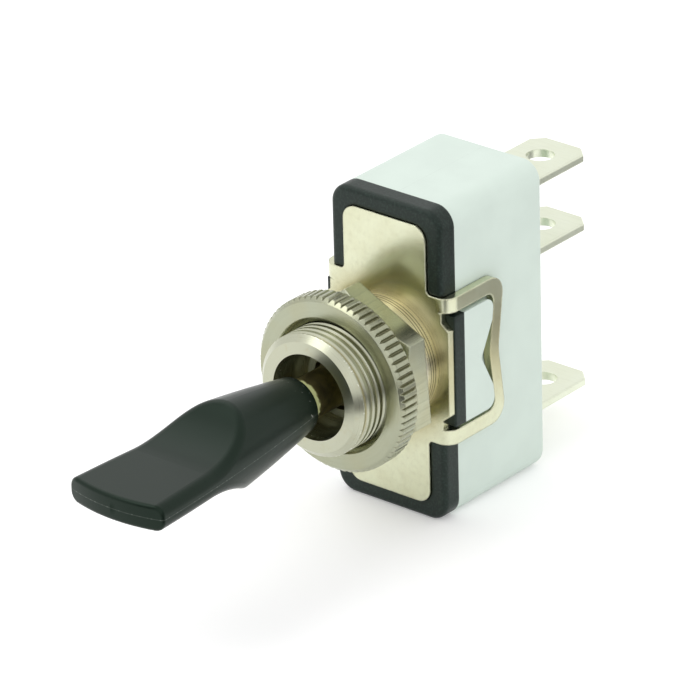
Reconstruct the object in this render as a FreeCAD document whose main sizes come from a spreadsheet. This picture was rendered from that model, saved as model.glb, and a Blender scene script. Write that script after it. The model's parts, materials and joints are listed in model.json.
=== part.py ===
import FreeCAD, Part
import math
import os

import Sketcher

# Panel toggle switch, millimetres.
# Origin: bushing axis at the face of the frame plate that seats behind the panel.
# -Y runs out of the panel along the bushing, +Y to the push-on tabs, +Z along the long side.

SIZES = [
    # moulded case and its front cover
    ("case_width", 12.8),
    ("case_height", 31.0),
    ("case_depth", 12.75),
    ("case_corner", 1.9),
    ("case_wall", 1.2),
    ("case_rear_wall", 1.5),
    ("case_rear_round", 0.4),
    ("cover_depth", 1.95),
    ("cover_recess", 0.55),
    ("cover_round", 0.5),
    ("cover_lip", 1.0),
    ("cover_lip_wall", 0.9),
    ("fit_gap", 0.08),
    # raised snap pads on both sides
    ("pad_rise", 1.0),
    ("pad_height", 11.0),
    ("pad_round", 1.0),
    ("notch_height", 6.5),
    ("notch_depth", 1.65),
    ("bar_gap", 0.15),
    # folded metal frame
    ("plate_thick", 0.8),
    ("tongue_width", 9.5),
    ("tongue_inset", 1.65),
    ("tongue_corner", 1.4),
    ("root_round", 0.5),
    ("arm_width", 1.45),
    ("arm_gap", 0.38),
    ("side_gap", 0.1),
    ("bend_radius", 0.6),
    ("loop_reach", 8.2),
    ("loop_dip", 1.0),
    ("bar_width", 1.25),
    ("loop_round", 1.8),
    ("flange_height", 9.8),
    ("flange_chamfer", 0.7),
    ("relief_depth", 0.85),
    # threaded bushing
    ("thread_diameter", 11.9),
    ("bushing_length", 11.06),
    ("nose_chamfer", 0.6),
    ("mouth_diameter", 8.34),
    ("mouth_depth", 2.6),
    ("seat_depth", 4.1),
    ("seat_diameter", 6.9),
    ("lip_diameter", 5.5),
    ("lip_thick", 0.7),
    ("neck_diameter", 10.3),
    ("stake_diameter", 11.2),
    ("stake_thick", 0.6),
    ("rear_bore", 8.2),
    ("guide_length", 2.2),
    # nuts
    ("nut_clearance", 0.05),
    ("visible_thread", 2.85),
    ("hex_wall", 1.2),
    ("hex_thick", 2.7),
    ("hex_chamfer", 0.65),
    ("hex_turn", 4.2),
    ("nut_gap", 0.05),
    ("knurl_wall", 2.5),
    ("knurl_thick", 2.5),
    ("knurl_chamfer", 0.4),
    ("knurl_count", 72),
    ("knurl_depth", 0.3),
    ("knurl_groove", 0.46),
    ("knurl_countersink", 0.6),
    # lever, its pin and its handle
    ("pivot_depth", 6.1),
    ("ball_diameter", 6.0),
    ("running_gap", 0.05),
    ("shank_diameter", 4.0),
    ("spigot_diameter", 3.2),
    ("spigot_length", 12.0),
    ("tail_diameter", 3.0),
    ("tail_length", 5.36),
    ("pin_diameter", 1.5),
    ("pin_length", 8.0),
    ("pin_end_gap", 0.15),
    ("handle_gap", 1.9),
    ("handle_length", 25.1),
    ("handle_root", 5.4),
    ("handle_width", 10.8),
    ("handle_flank", 177.0),
    ("handle_crown", 0.9),
    ("paddle_thick", 2.5),
    ("paddle_length", 8.0),
    ("scallop_radius", 11.0),
    ("handle_edge", 0.35),
    ("scallop_rim", 1.0),
    # insulating sleeve, plunger and spring
    ("actuator_diameter", 4.8),
    ("actuator_front", 3.76),
    ("actuator_web", 0.4),
    ("actuator_bore", 5.4),
    ("actuator_edge", 0.3),
    ("plunger_diameter", 2.4),
    ("plunger_gap", 0.08),
    ("plunger_rest", 0.05),
    ("spring_length", 2.6),
    ("spring_wire", 0.32),
    ("spring_turns", 4.5),
    # rocker and contacts
    ("fulcrum_distance", 15.36),
    ("fulcrum_round", 0.4),
    ("blade_thick", 1.1),
    ("blade_width", 4.4),
    ("blade_overhang", 1.4),
    ("blade_round", 1.2),
    ("detent_radius", 1.4),
    ("detent_depth", 0.15),
    ("contact_inset", 6.7),
    ("moving_contact_diameter", 2.2),
    ("moving_contact_height", 0.5),
    ("moving_rivet_diameter", 1.0),
    ("contact_travel", 1.08),
    ("fixed_contact_diameter", 2.4),
    ("fixed_contact_height", 0.37),
    ("fixed_rivet_diameter", 1.2),
    # terminals
    ("tab_width", 6.35),
    ("tab_thick", 0.8),
    ("tab_length", 11.6),
    ("tab_chamfer", 1.15),
    ("tab_hole", 2.7),
    ("tab_hole_back", 3.55),
    ("tab_bend", 0.3),
    ("tab_bevel", 0.12),
    ("foot_overhang", 1.5),
    ("upper_tab_inset", 4.3),
    ("common_tab_step", 7.0),
    ("lower_tab_inset", 3.7),
    ("slot_gap", 0.05),
]

# Places that several pieces share, written with the sizes above.
HALF_Z = "(Sizes.case_height / 2)"
JOINT_Y = "(Sizes.plate_thick - Sizes.cover_recess + Sizes.cover_depth)"
COVER_Y = "(Sizes.plate_thick - Sizes.cover_recess)"
REAR_Y = "(" + JOINT_Y + " + Sizes.case_depth)"
SIDE_X = "(Sizes.case_width / 2)"
PAD_X = "(" + SIDE_X + " + Sizes.pad_rise)"
ARM_IN_X = "(" + SIDE_X + " + Sizes.side_gap)"
ARM_OUT_X = "(" + ARM_IN_X + " + Sizes.plate_thick)"
ARM_IN_Z = "(Sizes.pad_height / 2 + Sizes.arm_gap)"
ARM_OUT_Z = "(" + ARM_IN_Z + " + Sizes.arm_width)"
LOOP_IN_Y = "(Sizes.loop_reach - Sizes.bar_width)"
PAD_REAR_Y = "(" + LOOP_IN_Y + " - Sizes.bar_gap)"
NOSE_Y = "(-Sizes.bushing_length)"
PIVOT_Y = "(Sizes.pivot_depth - Sizes.bushing_length)"
HEX_REAR_Y = "(-Sizes.visible_thread)"
HEX_FRONT_Y = "(" + HEX_REAR_Y + " - Sizes.hex_thick)"
KNURL_REAR_Y = "(" + HEX_FRONT_Y + " - Sizes.nut_gap)"
KNURL_FRONT_Y = "(" + KNURL_REAR_Y + " - Sizes.knurl_thick)"
NUT_BORE = "(Sizes.thread_diameter / 2 + Sizes.nut_clearance)"
HEX_FLAT = "(Sizes.thread_diameter / 2 + Sizes.hex_wall)"
HANDLE_Y = "(" + NOSE_Y + " - Sizes.handle_gap)"
HANDLE_END_Y = "(" + HANDLE_Y + " - Sizes.handle_length)"
STAKE_Y = "(Sizes.plate_thick + Sizes.stake_thick)"
TAIL_END_Y = "(" + PIVOT_Y + " + Sizes.tail_length)"
SLEEVE_Y = "(" + PIVOT_Y + " + Sizes.actuator_front)"
SPRING_Y = "(" + TAIL_END_Y + " + Sizes.actuator_web)"
SLEEVE_END_Y = "(" + SPRING_Y + " + Sizes.actuator_bore)"
FULCRUM_Y = "(" + PIVOT_Y + " + Sizes.fulcrum_distance)"
BLADE_Y = "(" + FULCRUM_Y + " - Sizes.blade_thick)"
PLUNGER_END_Y = "(" + BLADE_Y + " - Sizes.plunger_rest)"
MOVING_Y = "(" + FULCRUM_Y + " + Sizes.moving_contact_height)"
FIXED_Y = "(" + MOVING_Y + " + Sizes.contact_travel)"
FOOT_Y = "(" + FIXED_Y + " + Sizes.fixed_contact_height)"
FOOT_REAR_Y = "(" + FOOT_Y + " + Sizes.tab_thick)"
TAB_END_Y = "(" + REAR_Y + " + Sizes.tab_length)"
TAB_HOLE_Y = "(" + TAB_END_Y + " - Sizes.tab_hole_back)"
TONGUE_Z = "(" + HALF_Z + " - Sizes.tongue_inset)"
UPPER_TAB_Z = "(" + HALF_Z + " - Sizes.upper_tab_inset)"
COMMON_TAB_Z = "(" + UPPER_TAB_Z + " - Sizes.common_tab_step)"
LOWER_TAB_Z = "(Sizes.lower_tab_inset - " + HALF_Z + ")"
CONTACT_Z = "(" + HALF_Z + " - Sizes.contact_inset)"

doc = FreeCAD.newDocument("PanelToggleSwitch")
sheet = doc.addObject("Spreadsheet::Sheet", "Sizes")
for row, (alias, number) in enumerate(SIZES, start=1):
    sheet.set("A%d" % row, alias.replace("_", " "))
    sheet.set("B%d" % row, str(number))
    sheet.setAlias("B%d" % row, alias)
doc.recompute()

nodes = []


def value(expression):
    return float(sheet.evalExpression(expression))


def new_body(node):
    body = doc.addObject("PartDesign::Body", node)
    body.Label = node
    nodes.append(body)
    return body


def origin_feature(body, role):
    for feature in body.Origin.OriginFeatures:
        if feature.Role == role:
            return feature


def new_sketch(body, plane, name, offset=None):
    sketch = body.newObject("Sketcher::SketchObject", name)
    sketch.AttachmentSupport = [(origin_feature(body, plane), "")]
    sketch.MapMode = "FlatFace"
    if offset:
        sketch.setExpression(".AttachmentOffset.Base.z", offset)
    return sketch


def pin_point(sketch, geometry, position, across, along):
    """Hold one point of a sketch at two lengths of the sheet."""
    for kind, text in (("DistanceX", across), ("DistanceY", along)):
        index = sketch.addConstraint(
            Sketcher.Constraint(kind, -1, 1, geometry, position, value(text)))
        sketch.setExpression("Constraints[%d]" % index, text)


def bent(start, end, radius, side):
    """Arc from start to end whose centre lies left (+1) or right (-1) of the way."""
    chord = math.hypot(end[0] - start[0], end[1] - start[1])
    rise = math.sqrt(max(radius * radius - chord * chord / 4, 0.0))
    cx = (start[0] + end[0]) / 2 - side * rise * (end[1] - start[1]) / chord
    cy = (start[1] + end[1]) / 2 + side * rise * (end[0] - start[0]) / chord
    first = math.atan2(start[1] - cy, start[0] - cx)
    last = math.atan2(end[1] - cy, end[0] - cx)
    if side < 0:
        first, last = last, first
    if last < first:
        last += 2 * math.pi
    circle = Part.Circle(FreeCAD.Vector(cx, cy, 0), FreeCAD.Vector(0, 0, 1), radius)
    return Part.ArcOfCircle(circle, first, last)


def outline(sketch, points, arcs=None):
    """Closed profile through the points; arcs = {segment: (radius, side)}."""
    arcs = arcs or {}
    numbers = [(value(x), value(y)) for x, y in points]
    count = len(points)
    base = sketch.GeometryCount
    ends = []
    for i in range(count):
        start = numbers[i]
        end = numbers[(i + 1) % count]
        if i in arcs:
            radius, side = arcs[i]
            sketch.addGeometry(bent(start, end, value(radius), side))
            ends.append((1, 2) if side > 0 else (2, 1))
        else:
            sketch.addGeometry(Part.LineSegment(
                FreeCAD.Vector(start[0], start[1], 0), FreeCAD.Vector(end[0], end[1], 0)))
            ends.append((1, 2))
    for i in range(count):
        j = (i + 1) % count
        sketch.addConstraint(
            Sketcher.Constraint("Coincident", base + i, ends[i][1], base + j, ends[j][0]))
    for i in range(count):
        pin_point(sketch, base + i, ends[i][0], points[i][0], points[i][1])
    for i, (radius, side) in arcs.items():
        start = numbers[i]
        end = numbers[(i + 1) % count]
        if math.hypot(end[0] - start[0], end[1] - start[1]) > 1.999 * value(radius):
            # a half circle is held by the place of its centre on the chord
            upright = abs(end[0] - start[0]) < abs(end[1] - start[1])
            kind = "DistanceX" if upright else "DistanceY"
            text = points[i][0] if upright else points[i][1]
            index = sketch.addConstraint(
                Sketcher.Constraint(kind, -1, 1, base + i, 3, value(text)))
            sketch.setExpression("Constraints[%d]" % index, text)
        else:
            index = sketch.addConstraint(
                Sketcher.Constraint("Radius", base + i, value(radius)))
            sketch.setExpression("Constraints[%d]" % index, radius)


def ring(sketch, across, along, radius):
    """Circle with its centre and radius held by the sheet."""
    centre = FreeCAD.Vector(value(across), value(along), 0)
    index = sketch.addGeometry(Part.Circle(centre, FreeCAD.Vector(0, 0, 1), value(radius)))
    pin_point(sketch, index, 3, across, along)
    size = sketch.addConstraint(Sketcher.Constraint("Radius", index, value(radius)))
    sketch.setExpression("Constraints[%d]" % size, radius)


def rectangle(sketch, low_x, low_y, high_x, high_y):
    outline(sketch, [(low_x, low_y), (high_x, low_y), (high_x, high_y), (low_x, high_y)])


def extrude(body, kind, sketch, name, length, reverse=False, middle=False):
    feature = body.newObject("PartDesign::" + kind, name)
    feature.Profile = sketch
    feature.setExpression("Length", length)
    feature.Reversed = reverse
    feature.Midplane = middle
    body.Tip = feature
    doc.recompute()
    return feature


def pad(body, sketch, name, length, reverse=False, middle=False):
    return extrude(body, "Pad", sketch, name, length, reverse, middle)


def pocket(body, sketch, name, length, reverse=False, middle=False):
    before = body.Shape.Volume
    feature = extrude(body, "Pocket", sketch, name, length, reverse, middle)
    if body.Shape.Volume >= before:
        raise RuntimeError(name + " cuts nothing")
    return feature


def turn(body, sketch, name, kind="Revolution"):
    """Turn a half profile about the bushing axis, +Y."""
    feature = body.newObject("PartDesign::" + kind, name)
    feature.Profile = sketch
    feature.ReferenceAxis = (sketch, ["H_Axis"])
    feature.Angle = 360
    body.Tip = feature
    doc.recompute()
    return feature


def mirror(body, features, plane, name):
    feature = body.newObject("PartDesign::Mirrored", name)
    feature.Originals = features
    feature.MirrorPlane = (origin_feature(body, plane), [""])
    body.Tip = feature
    doc.recompute()
    return feature


def edge_names(shape, test):
    return ["Edge%d" % (i + 1) for i, edge in enumerate(shape.Edges) if test(edge)]


def along(edge, axis):
    """True for a straight edge that runs along axis 0, 1 or 2."""
    if edge.Curve.TypeId != "Part::GeomLine":
        return False
    direction = edge.tangentAt(edge.FirstParameter)
    return abs(abs(direction[axis]) - 1) < 1e-6


def middle_of(edge):
    return edge.valueAt((edge.FirstParameter + edge.LastParameter) / 2)


def dress(body, kind, name, size, test):
    """Fillet or Chamfer on the edges of the body that pass the test."""
    base = body.Tip
    chosen = edge_names(base.Shape, test)
    if not chosen:
        raise RuntimeError(name + " finds no edge")
    feature = body.newObject("PartDesign::" + kind, name)
    feature.Base = (base, chosen)
    feature.setExpression("Radius" if kind == "Fillet" else "Size", size)
    body.Tip = feature
    doc.recompute()
    return feature


def near(a, b):
    return abs(a - b) < 1e-4


def snap_pad(body, name, front, rear_profile):
    """Raised pad on both sides, flush on the case and on the cover."""
    side = new_sketch(body, "YZ_Plane", name + "Sketch", SIDE_X + " - Sizes.pad_rise / 2")
    half = "Sizes.pad_height / 2"
    outline(side, [(front, "-" + half)] + rear_profile + [(front, half)])
    feature = pad(body, side, name, "Sizes.pad_rise * 3 / 2")
    mirror(body, [feature], "YZ_Plane", name + "Mirror")


def make_case():
    body = new_body("case")
    box = new_sketch(body, "XZ_Plane", "CaseSketch", "-" + JOINT_Y)
    rectangle(box, "-" + SIDE_X, "-" + HALF_Z, SIDE_X, HALF_Z)
    pad(body, box, "CaseBlock", "Sizes.case_depth", reverse=True)
    dress(body, "Fillet", "CaseCorners", "Sizes.case_corner", lambda e: along(e, 1))
    rear = value(REAR_Y)
    dress(body, "Fillet", "CaseRearRound", "Sizes.case_rear_round",
          lambda e: near(e.BoundBox.YMin, rear) and near(e.BoundBox.YMax, rear))
    half = "Sizes.pad_height / 2"
    notch = "Sizes.notch_height / 2"
    slope = "Sizes.loop_dip / " + ARM_OUT_Z
    rear_at_edge = PAD_REAR_Y + " - (" + ARM_OUT_Z + " - " + half + ") * " + slope
    rear_at_notch = PAD_REAR_Y + " - (" + ARM_OUT_Z + " - " + notch + ") * " + slope
    deep = rear_at_notch + " - Sizes.notch_depth"
    snap_pad(body, "CasePad", JOINT_Y, [
        (rear_at_edge, "-" + half),
        (rear_at_notch, "-" + notch),
        (deep, "0"),
        (rear_at_notch, notch),
        (rear_at_edge, half)])
    corner_y = value(rear_at_edge)
    corner_z = value(half)
    dress(body, "Fillet", "CasePadRound", "Sizes.pad_round",
          lambda e: along(e, 0) and near(middle_of(e).y, corner_y)
          and near(abs(middle_of(e).z), corner_z))
    hollow = new_sketch(body, "XZ_Plane", "CavitySketch", "-" + JOINT_Y)
    inner_x = SIDE_X + " - Sizes.case_wall"
    inner_z = "Sizes.case_height / 2 - Sizes.case_wall"
    rectangle(hollow, "-(" + inner_x + ")", "-(" + inner_z + ")", inner_x, inner_z)
    pocket(body, hollow, "Cavity", "Sizes.case_depth - Sizes.case_rear_wall", reverse=False)
    slots = new_sketch(body, "XZ_Plane", "TabSlotSketch", "-" + REAR_Y)
    wide = "(Sizes.tab_width / 2 + Sizes.slot_gap)"
    thick = "(Sizes.tab_thick / 2 + Sizes.slot_gap)"
    for place in (UPPER_TAB_Z, COMMON_TAB_Z, LOWER_TAB_Z):
        rectangle(slots, "-" + wide, place + " - " + thick, wide, place + " + " + thick)
    pocket(body, slots, "TabSlots", "Sizes.case_rear_wall", reverse=True)


def make_cover():
    body = new_body("cover")
    block = new_sketch(body, "XZ_Plane", "CoverSketch", "-" + COVER_Y)
    rectangle(block, "-" + SIDE_X, "-" + HALF_Z, SIDE_X, HALF_Z)
    pad(body, block, "CoverBlock", "Sizes.cover_depth", reverse=True)
    dress(body, "Fillet", "CoverCorners", "Sizes.case_corner", lambda e: along(e, 1))
    front = value(COVER_Y)
    dress(body, "Fillet", "CoverFrontRound", "Sizes.cover_round",
          lambda e: near(e.BoundBox.YMin, front) and near(e.BoundBox.YMax, front))
    half = "Sizes.pad_height / 2"
    snap_pad(body, "CoverPad", "Sizes.plate_thick", [
        (JOINT_Y, "-" + half),
        (JOINT_Y, half)])
    lip = new_sketch(body, "XZ_Plane", "LipSketch", "-" + JOINT_Y)
    lip_x = "(" + SIDE_X + " - Sizes.case_wall - Sizes.fit_gap)"
    lip_z = "(Sizes.case_height / 2 - Sizes.case_wall - Sizes.fit_gap)"
    rectangle(lip, "-" + lip_x, "-" + lip_z, lip_x, lip_z)
    rectangle(lip, "-(" + lip_x + " - Sizes.cover_lip_wall)",
              "-(" + lip_z + " - Sizes.cover_lip_wall)",
              lip_x + " - Sizes.cover_lip_wall", lip_z + " - Sizes.cover_lip_wall")
    pad(body, lip, "CoverLip", "Sizes.cover_lip", reverse=True)
    recess = new_sketch(body, "XZ_Plane", "RecessSketch", "-Sizes.plate_thick")
    tongue_x = "(Sizes.tongue_width / 2 + Sizes.fit_gap)"
    tongue_z = "(" + TONGUE_Z + " + Sizes.fit_gap)"
    band_x = "(" + PAD_X + " + 1)"
    band_z = "(" + ARM_OUT_Z + " + Sizes.fit_gap)"
    corner = "(Sizes.tongue_corner + Sizes.fit_gap)"
    outline(recess, [
        ("-" + tongue_x, "-" + tongue_z + " + " + corner),
        ("-" + tongue_x + " + " + corner, "-" + tongue_z),
        (tongue_x + " - " + corner, "-" + tongue_z),
        (tongue_x, "-" + tongue_z + " + " + corner),
        (tongue_x, "-" + band_z),
        (band_x, "-" + band_z),
        (band_x, band_z),
        (tongue_x, band_z),
        (tongue_x, tongue_z + " - " + corner),
        (tongue_x + " - " + corner, tongue_z),
        ("-" + tongue_x + " + " + corner, tongue_z),
        ("-" + tongue_x, tongue_z + " - " + corner),
        ("-" + tongue_x, band_z),
        ("-" + band_x, band_z),
        ("-" + band_x, "-" + band_z),
        ("-" + tongue_x, "-" + band_z)],
        {0: (corner, 1), 2: (corner, 1), 8: (corner, 1), 10: (corner, 1)})
    pocket(body, recess, "PlateRecess", "Sizes.cover_recess", reverse=True)
    root_x = value(tongue_x)
    root_z = value(band_z)
    dress(body, "Fillet", "RecessRoots", "Sizes.root_round - Sizes.fit_gap",
          lambda e: along(e, 1) and near(abs(middle_of(e).x), root_x)
          and near(abs(middle_of(e).z), root_z))
    side_x = value(SIDE_X)
    seat_y = value("Sizes.plate_thick")
    dress(body, "Fillet", "BendRelief", "Sizes.bend_radius",
          lambda e: along(e, 2) and near(abs(middle_of(e).x), side_x)
          and near(middle_of(e).y, seat_y))
    hole = new_sketch(body, "XZ_Plane", "CoverHoleSketch", "-" + COVER_Y)
    ring(hole, "0", "0", "Sizes.stake_diameter / 2 + Sizes.fit_gap")
    pocket(body, hole, "CoverHole", "Sizes.cover_depth + Sizes.cover_lip", reverse=False)


def make_frame():
    body = new_body("frame")
    plate = new_sketch(body, "XZ_Plane", "PlateSketch")
    tongue_x = "(Sizes.tongue_width / 2)"
    tongue_z = TONGUE_Z
    bend_x = "(" + ARM_IN_X + " - Sizes.bend_radius)"
    relief_x = "(" + ARM_OUT_X + " - Sizes.relief_depth)"
    flange_z = "(Sizes.flange_height / 2)"
    cut = "Sizes.flange_chamfer"
    right = [
        (tongue_x, "-" + tongue_z),
        (tongue_x, "-" + ARM_OUT_Z),
        (bend_x, "-" + ARM_OUT_Z),
        (bend_x, "-" + ARM_IN_Z),
        (relief_x, "-" + ARM_IN_Z),
        (relief_x, "-" + flange_z),
        (ARM_OUT_X, "-" + flange_z + " + " + cut),
        (ARM_OUT_X, flange_z + " - " + cut),
        (relief_x, flange_z),
        (relief_x, ARM_IN_Z),
        (bend_x, ARM_IN_Z),
        (bend_x, ARM_OUT_Z),
        (tongue_x, ARM_OUT_Z),
        (tongue_x, tongue_z)]
    left = [("-" + x, z) for x, z in reversed(right)]
    outline(plate, right + left)
    pad(body, plate, "Plate", "Sizes.plate_thick", reverse=True)
    tip_z = value(tongue_z)
    dress(body, "Fillet", "TongueCorners", "Sizes.tongue_corner",
          lambda e: along(e, 1) and near(abs(middle_of(e).z), tip_z))
    root_x = value(tongue_x)
    root_z = value(ARM_OUT_Z)
    dress(body, "Fillet", "TongueRoots", "Sizes.root_round",
          lambda e: along(e, 1) and near(abs(middle_of(e).x), root_x)
          and near(abs(middle_of(e).z), root_z))
    outer = "(Sizes.bend_radius + Sizes.plate_thick)"
    bends = []
    for name, low in (("ArmBendUpper", ARM_IN_Z), ("ArmBendLower", "-" + ARM_OUT_Z)):
        bend = new_sketch(body, "XY_Plane", name + "Sketch", low)
        outline(bend, [
            (bend_x, "0"),
            (ARM_OUT_X, outer),
            (ARM_IN_X, outer),
            (bend_x, "Sizes.plate_thick")],
            {0: (outer, 1), 2: ("Sizes.bend_radius", -1)})
        bends.append(pad(body, bend, name, "Sizes.arm_width"))
    loop = new_sketch(body, "YZ_Plane", "LoopSketch", ARM_IN_X)
    loop_in = LOOP_IN_Y + " - Sizes.loop_dip * Sizes.arm_width / " + ARM_OUT_Z
    outline(loop, [
        (outer, "-" + ARM_OUT_Z),
        ("Sizes.loop_reach", "-" + ARM_OUT_Z),
        ("Sizes.loop_reach - Sizes.loop_dip", "0"),
        ("Sizes.loop_reach", ARM_OUT_Z),
        (outer, ARM_OUT_Z),
        (outer, ARM_IN_Z),
        (loop_in, ARM_IN_Z),
        (LOOP_IN_Y + " - Sizes.loop_dip", "0"),
        (loop_in, "-" + ARM_IN_Z),
        (outer, "-" + ARM_IN_Z)])
    bends.append(pad(body, loop, "SideLoop", "Sizes.plate_thick"))
    mirror(body, bends, "YZ_Plane", "SideLoopMirror")
    corner_y = value("Sizes.loop_reach")
    inner_y = value(loop_in)
    outer_z = value(ARM_OUT_Z)
    inner_z = value(ARM_IN_Z)
    dress(body, "Fillet", "LoopCorners", "Sizes.loop_round",
          lambda e: along(e, 0) and near(middle_of(e).y, corner_y)
          and near(abs(middle_of(e).z), outer_z))
    dress(body, "Fillet", "LoopInnerCorners", "Sizes.pad_round",
          lambda e: along(e, 0) and near(middle_of(e).y, inner_y)
          and near(abs(middle_of(e).z), inner_z))
    dip_y = value("Sizes.loop_reach - Sizes.loop_dip")
    wave_y = value(LOOP_IN_Y + " - Sizes.loop_dip")
    dress(body, "Fillet", "LoopWave", "Sizes.loop_round * 3",
          lambda e: along(e, 0) and near(middle_of(e).z, 0)
          and (near(middle_of(e).y, dip_y) or near(middle_of(e).y, wave_y)))
    hole = new_sketch(body, "XZ_Plane", "StakeHoleSketch")
    ring(hole, "0", "0", "Sizes.neck_diameter / 2")
    pocket(body, hole, "StakeHole", "Sizes.plate_thick", reverse=False)


def make_bushing():
    body = new_body("bushing")
    shell = new_sketch(body, "YZ_Plane", "BushingSketch")
    thread = "Sizes.thread_diameter / 2"
    lip_front = NOSE_Y + " + Sizes.seat_depth"
    lip_rear = NOSE_Y + " + Sizes.seat_depth + Sizes.lip_thick"
    guide = "(Sizes.ball_diameter / 2 + Sizes.running_gap)"
    outline(shell, [
        (NOSE_Y, "Sizes.mouth_diameter / 2"),
        (NOSE_Y, thread + " - Sizes.nose_chamfer"),
        (NOSE_Y + " + Sizes.nose_chamfer", thread),
        ("0", thread),
        ("0", "Sizes.neck_diameter / 2"),
        ("Sizes.plate_thick", "Sizes.neck_diameter / 2"),
        ("Sizes.plate_thick", "Sizes.stake_diameter / 2"),
        (STAKE_Y, "Sizes.stake_diameter / 2"),
        (STAKE_Y, "Sizes.rear_bore / 2"),
        (lip_rear + " + Sizes.guide_length", guide),
        (lip_rear, guide),
        (lip_rear, "Sizes.lip_diameter / 2"),
        (lip_front, "Sizes.lip_diameter / 2"),
        (lip_front, "Sizes.seat_diameter / 2"),
        (NOSE_Y + " + Sizes.mouth_depth", "Sizes.mouth_diameter / 2")])
    turn(body, shell, "BushingTurned")
    slot = new_sketch(body, "YZ_Plane", "PinSlotSketch")
    half = "(Sizes.pin_diameter / 2 + Sizes.running_gap)"
    outline(slot, [
        (PIVOT_Y, "-" + half),
        (STAKE_Y, "-" + half),
        (STAKE_Y, half),
        (PIVOT_Y, half)],
        {3: (half, 1)})
    pocket(body, slot, "PinSlots", "Sizes.pin_length + 2 * Sizes.pin_end_gap", middle=True)


def make_hex_nut():
    body = new_body("hex_nut")
    hexagon = new_sketch(body, "XZ_Plane", "HexSketch", "-" + HEX_REAR_Y)
    flat = HEX_FLAT
    high = "(" + HEX_FLAT + " * 2 / sqrt(3))"
    corners = []
    for corner in range(6):
        angle = "(Sizes.hex_turn + %d)" % (90 + 60 * corner)
        corners.append((high + " * cos(" + angle + ")", high + " * sin(" + angle + ")"))
    outline(hexagon, corners)
    pad(body, hexagon, "HexBlock", "Sizes.hex_thick")
    bore = new_sketch(body, "XZ_Plane", "HexBoreSketch", "-" + HEX_REAR_Y)
    ring(bore, "0", "0", NUT_BORE)
    pocket(body, bore, "HexBore", "Sizes.hex_thick", reverse=True)
    corner = new_sketch(body, "YZ_Plane", "HexChamferSketch")
    outline(corner, [
        (HEX_FRONT_Y, flat),
        (HEX_FRONT_Y + " + Sizes.hex_chamfer", high),
        (HEX_FRONT_Y + " + Sizes.hex_chamfer", high + " + 1"),
        (HEX_FRONT_Y + " - 1", high + " + 1"),
        (HEX_FRONT_Y + " - 1", flat)])
    turn(body, corner, "HexChamfer", "Groove")


def make_knurled_nut():
    body = new_body("knurled_nut")
    section = new_sketch(body, "YZ_Plane", "KnurledSketch")
    rim = "(" + NUT_BORE + " + Sizes.knurl_wall)"
    outline(section, [
        (KNURL_FRONT_Y, NUT_BORE + " + Sizes.knurl_countersink"),
        (KNURL_FRONT_Y, rim + " - Sizes.knurl_chamfer"),
        (KNURL_FRONT_Y + " + Sizes.knurl_chamfer", rim),
        (KNURL_REAR_Y + " - Sizes.knurl_chamfer", rim),
        (KNURL_REAR_Y, rim + " - Sizes.knurl_chamfer"),
        (KNURL_REAR_Y, NUT_BORE),
        (KNURL_FRONT_Y + " + Sizes.knurl_countersink", NUT_BORE)])
    turn(body, section, "KnurledTurned")
    groove = new_sketch(body, "XZ_Plane", "KnurlSketch", "-" + KNURL_REAR_Y)
    outline(groove, [
        ("0", rim + " - Sizes.knurl_depth"),
        ("Sizes.knurl_groove / 2", rim + " + 0.05"),
        ("-Sizes.knurl_groove / 2", rim + " + 0.05")])
    cut = pocket(body, groove, "KnurlGroove", "Sizes.knurl_thick", reverse=True)
    knurl = body.newObject("PartDesign::PolarPattern", "Knurl")
    knurl.Originals = [cut]
    knurl.Axis = (origin_feature(body, "Y_Axis"), [""])
    knurl.Angle = 360
    knurl.setExpression("Occurrences", "Sizes.knurl_count")
    body.Tip = knurl
    doc.recompute()


def make_lever():
    body = new_body("lever")
    rod = new_sketch(body, "YZ_Plane", "LeverSketch")
    ball = "(Sizes.ball_diameter / 2)"
    shank = "(Sizes.shank_diameter / 2)"
    tail = "(Sizes.tail_diameter / 2)"
    front = PIVOT_Y + " - sqrt(" + ball + " ^ 2 - " + shank + " ^ 2)"
    back = PIVOT_Y + " + sqrt(" + ball + " ^ 2 - " + tail + " ^ 2)"
    spigot_end = HANDLE_Y + " - Sizes.spigot_length"
    outline(rod, [
        (spigot_end, "0"),
        (spigot_end, "Sizes.spigot_diameter / 2"),
        (HANDLE_Y, "Sizes.spigot_diameter / 2"),
        (HANDLE_Y, shank),
        (front, shank),
        (PIVOT_Y, ball),
        (back, tail),
        (TAIL_END_Y, tail),
        (TAIL_END_Y, "0")],
        {4: (ball, -1), 5: (ball, -1)})
    turn(body, rod, "LeverTurned")
    hole = new_sketch(body, "YZ_Plane", "PinHoleSketch")
    ring(hole, PIVOT_Y, "0", "Sizes.pin_diameter / 2")
    pocket(body, hole, "PinHole", "Sizes.ball_diameter", middle=True)


def make_pivot_pin():
    body = new_body("pivot_pin")
    section = new_sketch(body, "YZ_Plane", "PinSketch")
    ring(section, PIVOT_Y, "0", "Sizes.pin_diameter / 2")
    pad(body, section, "Pin", "Sizes.pin_length", middle=True)


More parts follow.
